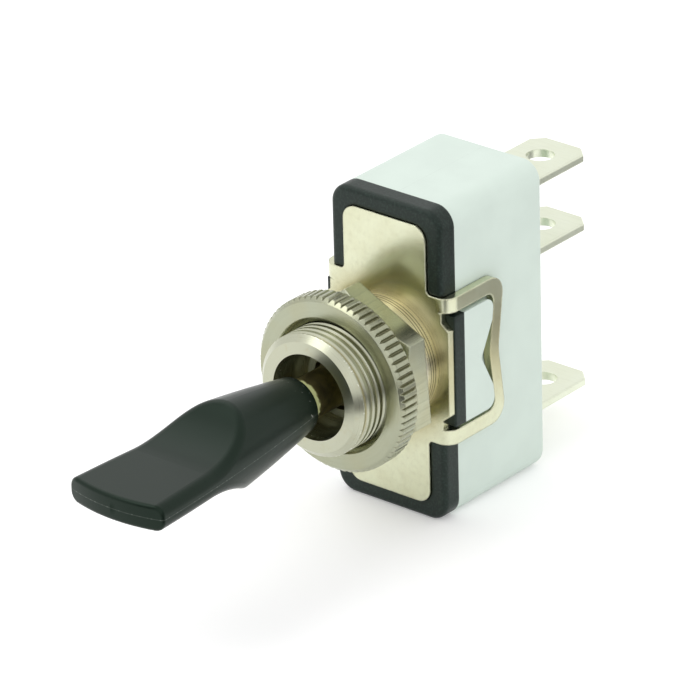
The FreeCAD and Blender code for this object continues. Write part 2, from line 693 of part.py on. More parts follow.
def make_handle():
    body = new_body("handle")
    section = new_sketch(body, "YZ_Plane", "HandleSketch")
    spigot_end = HANDLE_Y + " - Sizes.spigot_length"
    wide = "(Sizes.handle_width / 2)"
    crown = "(" + wide + " ^ 2 + Sizes.handle_crown ^ 2) / (2 * Sizes.handle_crown)"
    outline(section, [
        (HANDLE_END_Y, "0"),
        (HANDLE_END_Y + " + Sizes.handle_crown", wide),
        (HANDLE_Y, "Sizes.handle_root / 2"),
        (HANDLE_Y, "Sizes.spigot_diameter / 2"),
        (spigot_end, "Sizes.spigot_diameter / 2"),
        (spigot_end, "0")],
        {0: (crown, -1), 1: ("Sizes.handle_flank", -1)})
    turn(body, section, "HandleTurned")
    scallop = new_sketch(body, "YZ_Plane", "ScallopSketch")
    thin = "(Sizes.paddle_thick / 2)"
    start = "(" + HANDLE_END_Y + " + Sizes.paddle_length)"
    top = thin + " + Sizes.scallop_radius"
    outline(scallop, [
        (HANDLE_END_Y + " - 1", thin),
        (start, thin),
        (start + " + Sizes.scallop_radius", top),
        (HANDLE_END_Y + " - 1", top)],
        {1: ("Sizes.scallop_radius", 1)})
    cut = pocket(body, scallop, "Scallop", "Sizes.handle_width + 2", middle=True)
    mirror(body, [cut], "XY_Plane", "ScallopLower")
    rim_y = value(HANDLE_END_Y + " + Sizes.handle_crown")
    flat_z = value(thin)
    dress(body, "Fillet", "ScallopRims", "Sizes.scallop_rim",
          lambda e: e.Length > 2 and e.BoundBox.YMax > rim_y + 2
          and min(abs(e.BoundBox.ZMin), abs(e.BoundBox.ZMax)) < flat_z + 0.2
          and e.BoundBox.ZMin * e.BoundBox.ZMax > 0)
    dress(body, "Fillet", "PaddleEdges", "Sizes.handle_edge",
          lambda e: e.Length > 2 and near(abs(e.BoundBox.ZMin), flat_z)
          and near(abs(e.BoundBox.ZMax), flat_z) and e.BoundBox.YMax < rim_y + 1)


def make_actuator():
    body = new_body("actuator")
    section = new_sketch(body, "YZ_Plane", "ActuatorSketch")
    bore = "(Sizes.plunger_diameter / 2 + Sizes.plunger_gap)"
    rim = "(Sizes.actuator_diameter / 2)"
    edge = "Sizes.actuator_edge"
    outline(section, [
        (SLEEVE_Y, "Sizes.tail_diameter / 2"),
        (SLEEVE_Y, rim + " - " + edge),
        (SLEEVE_Y + " + " + edge, rim),
        (SLEEVE_END_Y + " - " + edge, rim),
        (SLEEVE_END_Y, rim + " - " + edge),
        (SLEEVE_END_Y, bore),
        (SPRING_Y, bore),
        (SPRING_Y, "0"),
        (TAIL_END_Y, "0"),
        (TAIL_END_Y, "Sizes.tail_diameter / 2")])
    turn(body, section, "ActuatorTurned")


def make_plunger():
    body = new_body("plunger")
    section = new_sketch(body, "YZ_Plane", "PlungerSketch")
    radius = "(Sizes.plunger_diameter / 2)"
    start = SPRING_Y + " + Sizes.spring_length"
    outline(section, [
        (start, "0"),
        (start, radius),
        (PLUNGER_END_Y + " - " + radius, radius),
        (PLUNGER_END_Y, "0")],
        {2: (radius, -1)})
    turn(body, section, "PlungerTurned")


def make_plunger_spring():
    body = new_body("plunger_spring")
    wire = new_sketch(body, "YZ_Plane", "SpringSketch")
    coil = "Sizes.plunger_diameter / 2 - Sizes.spring_wire"
    ring(wire, SPRING_Y + " + Sizes.spring_wire / 2", coil, "Sizes.spring_wire / 2")
    coils = body.newObject("PartDesign::AdditiveHelix", "SpringCoils")
    coils.Profile = wire
    coils.ReferenceAxis = (wire, ["H_Axis"])
    coils.Mode = 1
    coils.setExpression("Pitch", "(Sizes.spring_length - Sizes.spring_wire) / Sizes.spring_turns")
    coils.setExpression("Turns", "Sizes.spring_turns")
    coils.LeftHanded = False
    body.Tip = coils
    doc.recompute()


def make_rocker_blade():
    body = new_body("rocker_blade")
    side = new_sketch(body, "YZ_Plane", "BladeSketch")
    half = "(" + CONTACT_Z + " + Sizes.blade_overhang)"
    seat = "(Sizes.fulcrum_round + Sizes.running_gap)"
    reach = "sqrt(2 * Sizes.detent_radius * Sizes.detent_depth - Sizes.detent_depth ^ 2)"
    outline(side, [
        (BLADE_Y, "-" + half),
        (FULCRUM_Y, "-" + half),
        (FULCRUM_Y, "-" + seat),
        (FULCRUM_Y, seat),
        (FULCRUM_Y, half),
        (BLADE_Y, half),
        (BLADE_Y, reach),
        (BLADE_Y, "-" + reach)],
        {2: (seat, -1), 6: ("Sizes.detent_radius", -1)})
    pad(body, side, "Blade", "Sizes.blade_width", middle=True)
    tip = value(half)
    dress(body, "Fillet", "BladeCorners", "Sizes.blade_round",
          lambda e: along(e, 1) and near(abs(middle_of(e).z), tip))
    holes = new_sketch(body, "XZ_Plane", "BladeHoleSketch", "-" + BLADE_Y)
    ring(holes, "0", CONTACT_Z, "Sizes.moving_rivet_diameter / 2")
    ring(holes, "0", "-" + CONTACT_Z, "Sizes.moving_rivet_diameter / 2")
    pocket(body, holes, "BladeHoles", "Sizes.blade_thick", reverse=False)


def rivet(node, place, first, seat, last, head, shank):
    """Contact rivet along Y: first to seat is one end, seat to last is the other."""
    body = new_body(node)
    wide = new_sketch(body, "XZ_Plane", node + "Head", "-(" + first + ")")
    ring(wide, "0", place, head)
    pad(body, wide, node + "HeadPad", "abs(" + seat + " - " + first + ")",
        reverse=value(seat) > value(first))
    slim = new_sketch(body, "XZ_Plane", node + "Shank", "-(" + seat + ")")
    ring(slim, "0", place, shank)
    pad(body, slim, node + "ShankPad", "abs(" + last + " - " + seat + ")",
        reverse=value(last) > value(seat))


def make_contacts():
    moving_head = "Sizes.moving_contact_diameter / 2"
    moving_shank = "Sizes.moving_rivet_diameter / 2"
    fixed_head = "Sizes.fixed_contact_diameter / 2"
    fixed_shank = "Sizes.fixed_rivet_diameter / 2"
    for node, place in (("upper", CONTACT_Z), ("lower", "-" + CONTACT_Z)):
        rivet(node + "_moving_contact", place, MOVING_Y, FULCRUM_Y, BLADE_Y,
              moving_head, moving_shank)
        rivet(node + "_fixed_contact", place, FIXED_Y, FOOT_Y, FOOT_REAR_Y,
              fixed_head, fixed_shank)


def finish_tab(body, place):
    """Corner chamfers, edge bevels and hole that every push-on tab has."""
    end_y = value(TAB_END_Y)
    dress(body, "Chamfer", "TabCorners", "Sizes.tab_chamfer",
          lambda e: along(e, 2) and near(middle_of(e).y, end_y))
    rear = value(REAR_Y)
    dress(body, "Chamfer", "TabBevels", "Sizes.tab_bevel",
          lambda e: abs(e.tangentAt(e.FirstParameter).z) < 1e-6
          and middle_of(e).y > rear and e.BoundBox.YMax > end_y - 2
          and e.Curve.TypeId == "Part::GeomLine")
    hole = new_sketch(body, "XY_Plane", "TabHoleSketch", place + " + Sizes.tab_thick")
    ring(hole, "0", TAB_HOLE_Y, "Sizes.tab_hole / 2")
    pocket(body, hole, "TabHole", "Sizes.tab_thick * 2", reverse=False)


def make_outer_terminal(node, place, side):
    """Outer tab with a foot turned towards the rocker; side is + above, - below."""
    body = new_body(node)
    section = new_sketch(body, "YZ_Plane", "TerminalSketch")
    outer = place + " " + side + " Sizes.tab_thick / 2"
    inner = place + (" - " if side == "+" else " + ") + "Sizes.tab_thick / 2"
    foot = side + "(" + CONTACT_Z + " - Sizes.foot_overhang)"
    outline(section, [
        (FOOT_Y, foot),
        (FOOT_REAR_Y, foot),
        (FOOT_REAR_Y, inner),
        (TAB_END_Y, inner),
        (TAB_END_Y, outer),
        (FOOT_Y, outer)])
    pad(body, section, "Terminal", "Sizes.tab_width", middle=True)
    inner_z = value(inner)
    outer_z = value(outer)
    foot_y = value(FOOT_Y)
    foot_rear = value(FOOT_REAR_Y)
    dress(body, "Fillet", "InnerBend", "Sizes.tab_bend",
          lambda e: along(e, 0) and near(middle_of(e).z, inner_z)
          and near(middle_of(e).y, foot_rear))
    dress(body, "Fillet", "OuterBend", "Sizes.tab_bend + Sizes.tab_thick",
          lambda e: along(e, 0) and near(middle_of(e).z, outer_z)
          and near(middle_of(e).y, foot_y))
    finish_tab(body, place)
    rivet_hole = new_sketch(body, "XZ_Plane", "RivetHoleSketch", "-" + FOOT_Y)
    ring(rivet_hole, "0", side + CONTACT_Z, "Sizes.fixed_rivet_diameter / 2")
    pocket(body, rivet_hole, "RivetHole", "Sizes.tab_thick", reverse=False)


def make_common_terminal():
    body = new_body("common_terminal")
    section = new_sketch(body, "YZ_Plane", "CommonSketch")
    place = COMMON_TAB_Z
    thick = "Sizes.tab_thick / 2"
    nose = "Sizes.fulcrum_round"
    outline(section, [
        (FULCRUM_Y, "-" + nose),
        (FOOT_REAR_Y, "-" + nose),
        (FOOT_REAR_Y, place + " - " + thick),
        (TAB_END_Y, place + " - " + thick),
        (TAB_END_Y, place + " + " + thick),
        (FOOT_Y, place + " + " + thick),
        (FOOT_Y, nose),
        (FULCRUM_Y, nose)],
        {7: (nose, 1)})
    pad(body, section, "Common", "Sizes.tab_width", middle=True)
    inner_z = value(place + " - " + thick)
    outer_z = value(place + " + " + thick)
    foot_y = value(FOOT_Y)
    foot_rear = value(FOOT_REAR_Y)
    dress(body, "Fillet", "InnerBend", "Sizes.tab_bend",
          lambda e: along(e, 0) and near(middle_of(e).z, inner_z)
          and near(middle_of(e).y, foot_rear))
    dress(body, "Fillet", "OuterBend", "Sizes.tab_bend + Sizes.tab_thick",
          lambda e: along(e, 0) and near(middle_of(e).z, outer_z)
          and near(middle_of(e).y, foot_y))
    finish_tab(body, place)


make_case()
make_cover()
make_frame()
make_bushing()
make_hex_nut()
make_knurled_nut()
make_lever()
make_pivot_pin()
make_handle()
make_actuator()
make_plunger()
make_plunger_spring()
make_rocker_blade()
make_contacts()
make_outer_terminal("upper_terminal", UPPER_TAB_Z, "+")
make_common_terminal()
make_outer_terminal("lower_terminal", LOWER_TAB_Z, "-")
doc.recompute()

for item in doc.Objects:
    if "Invalid" in item.State or "Error" in item.State:
        raise RuntimeError("failed: " + item.Name + " " + item.Label)

os.makedirs("parts", exist_ok=True)
for body in nodes:
    shape = body.Shape
    if shape.isNull() or not shape.isValid() or len(shape.Solids) != 1:
        raise RuntimeError("bad shape: " + body.Label)
    shape.exportStep("parts/" + body.Label + ".step")
    print(body.Label, round(shape.Volume, 3), shape.BoundBox)
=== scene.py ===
import json
import math

import bpy
from mathutils import Matrix, Vector

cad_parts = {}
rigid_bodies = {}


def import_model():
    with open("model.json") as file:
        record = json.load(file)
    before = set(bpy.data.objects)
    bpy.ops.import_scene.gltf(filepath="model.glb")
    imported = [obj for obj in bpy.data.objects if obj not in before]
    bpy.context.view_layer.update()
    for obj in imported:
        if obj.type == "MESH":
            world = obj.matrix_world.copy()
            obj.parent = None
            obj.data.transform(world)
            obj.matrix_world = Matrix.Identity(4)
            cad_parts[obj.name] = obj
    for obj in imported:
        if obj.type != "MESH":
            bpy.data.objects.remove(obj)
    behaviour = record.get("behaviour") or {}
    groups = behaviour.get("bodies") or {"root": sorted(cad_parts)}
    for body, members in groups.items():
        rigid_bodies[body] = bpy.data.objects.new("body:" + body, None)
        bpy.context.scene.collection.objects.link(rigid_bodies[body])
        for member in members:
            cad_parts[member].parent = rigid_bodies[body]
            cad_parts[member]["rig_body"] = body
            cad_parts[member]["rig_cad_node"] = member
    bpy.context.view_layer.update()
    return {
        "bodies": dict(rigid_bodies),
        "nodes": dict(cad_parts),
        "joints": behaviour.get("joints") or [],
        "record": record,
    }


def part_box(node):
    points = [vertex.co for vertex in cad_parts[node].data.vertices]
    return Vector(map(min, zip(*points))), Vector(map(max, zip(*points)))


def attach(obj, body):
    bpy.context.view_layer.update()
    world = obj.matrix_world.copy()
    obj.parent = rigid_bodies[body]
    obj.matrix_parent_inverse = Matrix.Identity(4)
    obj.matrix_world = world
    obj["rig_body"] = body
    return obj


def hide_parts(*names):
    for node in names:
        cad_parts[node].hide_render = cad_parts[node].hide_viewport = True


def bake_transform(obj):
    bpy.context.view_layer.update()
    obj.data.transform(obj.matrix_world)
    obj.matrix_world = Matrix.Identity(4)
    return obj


bl_info = {
    "name": "Panel toggle switch",
    "version": (1, 0, 0),
    "blender": (4, 5, 0),
    "location": "3D View > Sidebar > Switch",
    "description": "Builds the looks of a panel toggle switch over its CAD parts",
    "category": "Object",
}

CENTRE = (0.0, 0.0, 0.0)
BLACK = (0.0, 0.0, 0.0)
WHITE = (1.0, 1.0, 1.0)

# Distances in metres that count as none.
SAME_POINT = 1e-7
SAME_PLACE = 1e-6
CLEAR_OF = 1e-5

# Share of the crest's radius from which a point belongs to the outside of the barrel.
BARREL_SHARE = 0.99

# The ridge of the thread: corners of its section, steps in a turn, steps over which it
# rises at the nose, and as shares of the pitch half of its width and its gap to the collar.
RIDGE_CORNERS = 6
RIDGE_STEPS = 72
RIDGE_RISE = 40
RIDGE_HALF_WIDTH = 0.47
RIDGE_GAP = 0.05

# Faces that meet at more than this stay sharp.
SHARP_EDGE = math.radians(35)

# Features in a metre of the noise patterns.
PLASTIC_CLOUDS = 260.0
PLASTIC_PORES = 9000.0
PLASTIC_GRAINS = 5200.0
SEAM_GAPS = 2400.0
DUST_SPECKS = 3600.0
PLATE_CLOUDS = 330.0
PLATE_STAINS = 1500.0
NOSE_NICK_GLINTS = 5200.0
SHANK_STAINS = 700.0
RING_RAGS = 2600.0
PAPER_GRAIN = 1800.0
TURNING_MARKS = 9000.0
SHANK_MARKS = 4000.0

# The same along each axis, for metal that is marked in straight lines.
STRAIGHT_MARKS = {
    "sheet": (2600.0, 2600.0, 1700.0),
    "drawn": (6000.0, 200.0, 6000.0),
    "across": (260.0, 5000.0, 5000.0),
}

# Half widths of a parting line: where it is full, and where it has faded out.
SEAM_FULL = 0.00001
SEAM_GONE = 0.00007

# How far apart the fine turned rings of the rear collar are, and how far they reach.
RING_PITCH = 0.00032
RING_REACH = 0.00115

frame = {}


class SwitchSizes(bpy.types.PropertyGroup):
    """Sizes of what the CAD pieces don't carry"""

    thread_radius: bpy.props.FloatProperty(
        name="Thread crest radius", description="Outer radius of the bushing thread",
        default=0.00595, precision=5, unit="LENGTH")
    thread_pitch: bpy.props.FloatProperty(
        name="Thread pitch", description="Travel of one turn of the thread",
        default=0.00075, precision=5, unit="LENGTH")
    thread_depth: bpy.props.FloatProperty(
        name="Thread depth", description="Height of the thread over its root",
        default=0.00024, precision=5, unit="LENGTH")
    collar_length: bpy.props.FloatProperty(
        name="Collar", description="Plain stretch behind the chamfer of the nose",
        default=0.00012, precision=5, unit="LENGTH")
    rear_collar: bpy.props.FloatProperty(
        name="Rear collar", description="Plain stretch between the thread and the plate",
        default=0.0022, precision=5, unit="LENGTH")
    knurl_chamfer: bpy.props.FloatProperty(
        name="Knurl chamfer", description="Chamfer at the front of the knurled nut",
        default=0.00040, precision=5, unit="LENGTH")
    edge_round: bpy.props.FloatProperty(
        name="Edge round", description="Radius at which edges catch the light",
        default=0.00012, precision=5, unit="LENGTH")
    floor_size: bpy.props.FloatProperty(
        name="Floor", description="Side of the floor",
        default=1.6, unit="LENGTH")


class SwitchColours(bpy.types.PropertyGroup):
    """Base colours of the materials"""

    case: bpy.props.FloatVectorProperty(
        name="Case", description="Pale grey-green moulding",
        default=(0.665, 0.765, 0.695), subtype="COLOR", min=0, max=1)
    cover: bpy.props.FloatVectorProperty(
        name="Cover", description="Black moulding",
        default=(0.0075, 0.0130, 0.0105), subtype="COLOR", min=0, max=1)
    handle: bpy.props.FloatVectorProperty(
        name="Handle", description="Charcoal moulding",
        default=(0.0035, 0.0078, 0.0050), subtype="COLOR", min=0, max=1)
    # Lighter paint along the handle's parting line.
    seam: bpy.props.FloatVectorProperty(
        name="Seam", description="Light parting line of the handle",
        default=(0.24, 0.26, 0.24), subtype="COLOR", min=0, max=1)
    dust: bpy.props.FloatVectorProperty(
        name="Dust", description="Specks at the root of the handle",
        default=(0.55, 0.55, 0.52), subtype="COLOR", min=0, max=1)
    insulator: bpy.props.FloatVectorProperty(
        name="Insulator", description="Cream moulding inside",
        default=(0.62, 0.57, 0.43), subtype="COLOR", min=0, max=1)
    nickel: bpy.props.FloatVectorProperty(
        name="Nickel", description="Nickel plate",
        default=(0.70, 0.72, 0.53), subtype="COLOR", min=0, max=1)
    bushing: bpy.props.FloatVectorProperty(
        name="Bushing", description="Nickel plate of the bushing",
        default=(0.51, 0.52, 0.40), subtype="COLOR", min=0, max=1)
    # Painted highlight: a lighter copy of the bushing's plate for its rear collar.
    collar: bpy.props.FloatVectorProperty(
        name="Collar", description="Plate of the bushing's rear collar, lightened as painted highlight",
        default=(0.95, 0.92, 0.79), subtype="COLOR", min=0, max=1)
    # Nicks on the nose rim, painted near white as glints.
    nick: bpy.props.FloatVectorProperty(
        name="Nick glints", description="Nicks on the rim of the nose, lit as painted glints",
        default=(0.95, 0.95, 0.88), subtype="COLOR", min=0, max=1)
    nut: bpy.props.FloatVectorProperty(
        name="Nuts", description="Nickel plate of the nuts",
        default=(0.41, 0.43, 0.32), subtype="COLOR", min=0, max=1)
    # Warm nickel: random clouds and stains, the painted reflection of the brass on the frame,
    # and painted shade in thread roots and knurl grooves.
    gold: bpy.props.FloatVectorProperty(
        name="Warm nickel", description="Warm tone of the nickel: clouds, stains, painted reflection of brass, painted shade",
        default=(0.42, 0.36, 0.17), subtype="COLOR", min=0, max=1)
    brass: bpy.props.FloatVectorProperty(
        name="Brass", description="Dull olive brass of the lever",
        default=(0.50, 0.44, 0.20), subtype="COLOR", min=0, max=1)
    # Pale non-metallic ring of the shank next to the handle.
    bright_brass: bpy.props.FloatVectorProperty(
        name="Shank ring", description="Pale ring of the shank by the handle",
        default=(0.50, 0.53, 0.25), subtype="COLOR", min=0, max=1)
    tab: bpy.props.FloatVectorProperty(
        name="Tabs", description="Silver plate on brass",
        default=(0.81, 0.85, 0.70), subtype="COLOR", min=0, max=1)
    steel: bpy.props.FloatVectorProperty(
        name="Steel", description="Spring wire and pin",
        default=(0.45, 0.45, 0.45), subtype="COLOR", min=0, max=1)
    silver: bpy.props.FloatVectorProperty(
        name="Silver", description="Contact rivets",
        default=(0.82, 0.81, 0.79), subtype="COLOR", min=0, max=1)
    copper: bpy.props.FloatVectorProperty(
        name="Contact brass", description="Stamped contact rocker",
        default=(0.72, 0.48, 0.24), subtype="COLOR", min=0, max=1)
    floor: bpy.props.FloatVectorProperty(
        name="Floor", description="White paper",
        default=(0.93, 0.93, 0.93), subtype="COLOR", min=0, max=1)


class SwitchView(bpy.types.PropertyGroup):
    """Where the camera of the photograph stood"""

    azimuth: bpy.props.FloatProperty(
        name="Azimuth", description="Turn of the camera from the front towards the right",
        default=math.radians(40.059), subtype="ANGLE")
    elevation: bpy.props.FloatProperty(
        name="Elevation", description="Height of the camera over the horizon",
        default=math.radians(25.708), subtype="ANGLE")
    roll: bpy.props.FloatProperty(
        name="Roll", description="Turn of the picture",
        default=math.radians(1.52), subtype="ANGLE")
    distance: bpy.props.FloatProperty(
        name="Distance", description="From the camera to the plane of the aim",
        default=0.587651, unit="LENGTH")
    aim: bpy.props.FloatVectorProperty(
        name="Aim", description="Point that the camera is set out from",
        default=(0.0, 0.00824, -0.000931), subtype="TRANSLATION")
    across: bpy.props.FloatProperty(
        name="Across", description="Aim to the right of the picture's centre",
        default=0.008601, precision=5, unit="LENGTH")
    rise: bpy.props.FloatProperty(
        name="Rise", description="Aim above the picture's centre",
        default=0.001389, precision=5, unit="LENGTH")
    lens: bpy.props.FloatProperty(
        name="Lens", description="Focal length in millimetres",
        default=329.04)
    sensor: bpy.props.FloatProperty(
        name="Sensor", description="Width of the sensor in millimetres",
        default=36.0)


class Value:
    """A shader socket that takes part in sums."""

    def __init__(self, owner, socket):
        self.owner = owner
        self.socket = socket

    def __add__(self, other):
        return self.owner.math("ADD", self, other)

    def __sub__(self, other):
        return self.owner.math("SUBTRACT", self, other)

    def __rsub__(self, other):
        return self.owner.math("SUBTRACT", other, self)

    def __mul__(self, other):
        return self.owner.math("MULTIPLY", self, other)


class Nodes:
    """A node tree whose sockets are wrapped as values."""

    def __init__(self, tree):
        self.tree = tree

    def put(self, socket, content):
        if isinstance(content, Value):
            self.tree.links.new(content.socket, socket)
        elif socket.type == "RGBA":
            socket.default_value = (*content[:3], 1.0)
        else:
            socket.default_value = content

    def node(self, kind, settings=None, sockets=None):
        made = self.tree.nodes.new(kind)
        for key, content in (settings or {}).items():
            setattr(made, key, content)
        for key, content in (sockets or {}).items():
            self.put(made.inputs[key], content)
        return made

    def math(self, operation, a, b=0.0):
        made = self.node("ShaderNodeMath", {"operation": operation}, {0: a, 1: b})
        return Value(self, made.outputs[0])

    def seen_by(self, *rays):
        """1 for the named kinds of ray, 0 for all others."""
        path = self.node("ShaderNodeLightPath")
        seen, *others = (Value(self, path.outputs[ray]) for ray in rays)
        for other in others:
            seen = self.math("MAXIMUM", seen, other)
        return seen


class Shader(Nodes):
    """A material's node tree, with its Principled surface."""

    def __init__(self, name):
        self.material = bpy.data.materials.new(name)
        self.material.use_nodes = True
        super().__init__(self.material.node_tree)
        self.surface = self.tree.nodes["Principled BSDF"]
        place = self.node("ShaderNodeTexCoord")
        self.place = Value(self, place.outputs["Object"])
        parts = self.node("ShaderNodeSeparateXYZ", {}, {"Vector": self.place})
        self.x, self.y, self.z = (Value(self, parts.outputs[i]) for i in range(3))

    def step(self, content, low, high):
        """0 below low, 1 above high, smooth between; low may be the larger one."""
        made = self.node(
            "ShaderNodeMapRange", {"interpolation_type": "SMOOTHSTEP"},
            {"Value": content, "From Min": low, "From Max": high})
        return Value(self, made.outputs["Result"])

    def vector(self, x, y, z):
        made = self.node("ShaderNodeCombineXYZ", {}, {"X": x, "Y": y, "Z": z})
        return Value(self, made.outputs["Vector"])

    def noise(self, vector, scale, detail=3.0, rough=0.5):
        made = self.node(
            "ShaderNodeTexNoise", {},
            {"Vector": vector, "Scale": scale, "Detail": detail, "Roughness": rough})
        return Value(self, made.outputs["Fac"])

    def mix(self, factor, a, b):
        """Colour a where the factor is 0, and b where it is 1."""
        # Sockets 6 and 7 and output 2 are the ones for colours.
        made = self.node("ShaderNodeMix", {"data_type": "RGBA"}, {0: factor, 6: a, 7: b})
        return Value(self, made.outputs[2])

    def radius(self):
        """Distance from the bushing axis."""
        return self.math("SQRT", self.x * self.x + self.z * self.z)

    def turned(self, reach, outward=TURNING_MARKS):
        """Coordinates in which noise makes rings round the bushing axis."""
        return self.vector(reach * outward, self.y * TURNING_MARKS, 0.0)

    def finish(self, colour, roughness, metallic, height=None, depth=0.0, edge=0.0):
        self.put(self.surface.inputs["Base Color"], colour)
        self.put(self.surface.inputs["Roughness"], roughness)
        self.put(self.surface.inputs["Metallic"], metallic)
        sockets = {}
        if edge:
            rounded = self.node("ShaderNodeBevel", {"samples": 4}, {"Radius": edge})
            sockets["Normal"] = Value(self, rounded.outputs["Normal"])
        if height is not None:
            sockets["Height"] = height
            sockets["Distance"] = depth
            bump = self.node("ShaderNodeBump", {}, sockets)
            self.put(self.surface.inputs["Normal"], Value(self, bump.outputs["Normal"]))
        elif edge:
            self.put(self.surface.inputs["Normal"], sockets["Normal"])
        return self.material


def toned(colour, share):
    """The colour times a share, darker below 1 and lighter above."""
    return [channel * share for channel in colour]


def moulded(name, colour, edge, roughness, pores, mottle=0.06, shine=0.5, sheen_tint=WHITE,
            grit=0.0, seam=None, dust=None):
    """Moulded plastic: fine pores and faint mottling, and where asked a parting line and dust.

    Pores is their depth. The seam is the axis that it cuts, its colour and its strength, and
    the dust is its colour and the end of the piece that it lies at.
    """
    shader = Shader(name)
    cloud = shader.noise(shader.place, PLASTIC_CLOUDS, 2.0)
    height = shader.noise(shader.place, PLASTIC_PORES, 2.0)
    paint = shader.mix(shader.step(cloud, 0.3, 0.7),
                       toned(colour, 1 - mottle), toned(colour, 1 + mottle))
    if grit:
        grains = shader.noise(shader.place, PLASTIC_GRAINS, 2.0)
        paint = shader.mix(shader.step(grains, 0.45, 0.7) * grit, paint, toned(colour, 4.0))
    if seam:
        axis, seam_paint, strength = seam
        away = shader.math("ABSOLUTE", {"x": shader.x, "z": shader.z}[axis])
        gaps = shader.noise(shader.place, SEAM_GAPS, 3.0)
        broken = shader.step(gaps, 0.48, 0.68) * 0.75 + 0.25
        line = (1.0 - shader.step(away, SEAM_FULL, SEAM_GONE)) * broken
        paint = shader.mix(line * strength, paint, seam_paint)
        height = height + line * 3.0
    if dust:
        dust_paint, end = dust
        spots = shader.noise(shader.place, DUST_SPECKS, 1.0)
        near_end = shader.step(shader.y, end - 0.0022, end - 0.0004)
        specks = shader.step(spots, 0.70, 0.75) * near_end
        paint = shader.mix(specks * 0.6, paint, dust_paint)
    shader.surface.inputs["Specular IOR Level"].default_value = shine
    shader.surface.inputs["Specular Tint"].default_value = (*sheen_tint, 1.0)
    return shader.finish(paint, cloud * 0.08 + (roughness - 0.04), 0.0, height, pores, edge)


def plated(name, colour, warm, edge, lines="turned", rough=0.24, painted_reflection=None, clouds=0.35,
           streaks=0.12, depth=0.000004, knurl=None):
    """Plated metal with the fine marks of turning or of rolling, or with the stains of sheet.

    The painted reflection of the brass round the bushing is given as two radii and a share of
    the warm colour, which fades out between the radii. Depth is that of the marks, and 0
    leaves them flat. Knurl is the front, the rim and the chamfer of a knurled edge, whose
    grooves are darkened with the warm colour as painted shade.
    """
    shader = Shader(name)
    reach = shader.radius()
    if lines == "turned":
        marks = shader.turned(reach)
    else:
        across, along, up = STRAIGHT_MARKS[lines]
        marks = shader.vector(shader.x * across, shader.y * along, shader.z * up)
    streak = shader.noise(marks, 1.0, 3.0, 0.6)
    cloud = shader.noise(shader.place, PLATE_CLOUDS, 2.0)
    tone = shader.step(cloud, 0.25, 0.75) * clouds
    # Painted reflection: the warm colour laid round the bushing axis, fading out between the
    # two radii.
    if painted_reflection:
        full, gone, share = painted_reflection
        tone = tone + (1.0 - shader.step(reach, full, gone)) * share
    paint = shader.mix(tone, colour, warm)
    paint = shader.mix(shader.step(streak, 0.45, 0.8) * streaks, paint, toned(colour, 0.55))
    if lines == "sheet":
        stains = shader.noise(shader.place, PLATE_STAINS, 4.0, 0.6)
        paint = shader.mix(shader.step(stains, 0.45, 0.75) * 0.14, paint, toned(warm, 0.7))
    # Painted shade: the knurl's grooves are darkened with the warm colour.
    if knurl:
        front, rim, chamfer = knurl
        surface = shader.math("MINIMUM", shader.y - (front + chamfer - rim), rim)
        groove_shade = (shader.step(surface - reach, 0.00004, 0.0002)
                  * shader.step(reach, rim - 0.0005, rim - 0.0004)
                  * shader.step(shader.y, front + 0.0001, front + 0.0002))
        paint = shader.mix(groove_shade * 0.45, paint, toned(warm, 0.35))
    roughness = streak * (0.16 if depth else 0.04) + (rough - 0.05)
    return shader.finish(paint, roughness, 1.0, streak if depth else None, depth, edge)


def threaded(name, colours, sizes, nose, mouth, seat):
    """Plated thread: bright crests, warm painted shade in the roots and darker painted shade
    in the bore, a rear collar lightened as painted highlight, fine turned rings at the plate,
    and nicks on the nose with painted glints.

    Nose is where the chamfer of the front ends, mouth the radius of the bore, and seat where
    the bushing meets the plate.
    """
    shader = Shader(name)
    reach = shader.radius()
    root = sizes.thread_radius - sizes.thread_depth
    # Painted shade: the roots of the thread are darkened with the warm colour.
    root_shade = ((1.0 - shader.step(reach, root, root + sizes.thread_depth * 0.45))
              * shader.step(shader.y, nose, nose + 0.0003)
              * shader.step(reach, mouth, root))
    paint = shader.mix(root_shade * 0.6, colours.bushing, colours.gold)
    spots = shader.noise(shader.place, PLATE_STAINS, 3.0)
    paint = shader.mix(shader.step(spots, 0.55, 0.8) * 0.25, paint, colours.gold)
    # Painted shade: the bore behind the nose is darkened to a dim nickel.
    inside = ((1.0 - shader.step(reach, mouth + 0.00001, mouth + 0.00006))
              * shader.step(shader.y, nose - 0.0004, nose + 0.0004))
    paint = shader.mix(inside * 0.8, paint, toned(colours.nickel, 0.33))
    # Painted highlight: the rear collar is lightened with a brighter copy of the plate.
    collar = seat - sizes.rear_collar
    paint = shader.mix(shader.step(shader.y, collar, collar + 0.0001), paint, colours.collar)
    wave = shader.math("SINE", shader.y * (2 * math.pi / RING_PITCH))
    rings = (shader.step(wave, 0.55, 0.9)
             * shader.step(shader.y, seat - RING_REACH, seat - RING_REACH + 0.00005))
    paint = shader.mix(rings * 0.9, paint, toned(colours.gold, 0.1))
    # Nicks on the rim of the nose, painted near white as glints.
    nick_glints = (shader.step(shader.noise(shader.place, NOSE_NICK_GLINTS, 1.0), 0.6, 0.64)
             * shader.step(shader.y, nose - 0.0001, nose)
             * shader.step(shader.y, nose + 0.0004, nose + 0.0003))
    paint = shader.mix(nick_glints * 0.8, paint, colours.nick)
    marks = shader.noise(shader.turned(reach), 1.0, 2.0)
    return shader.finish(paint, marks * 0.15 + 0.22, 1.0, marks, 0.000003)


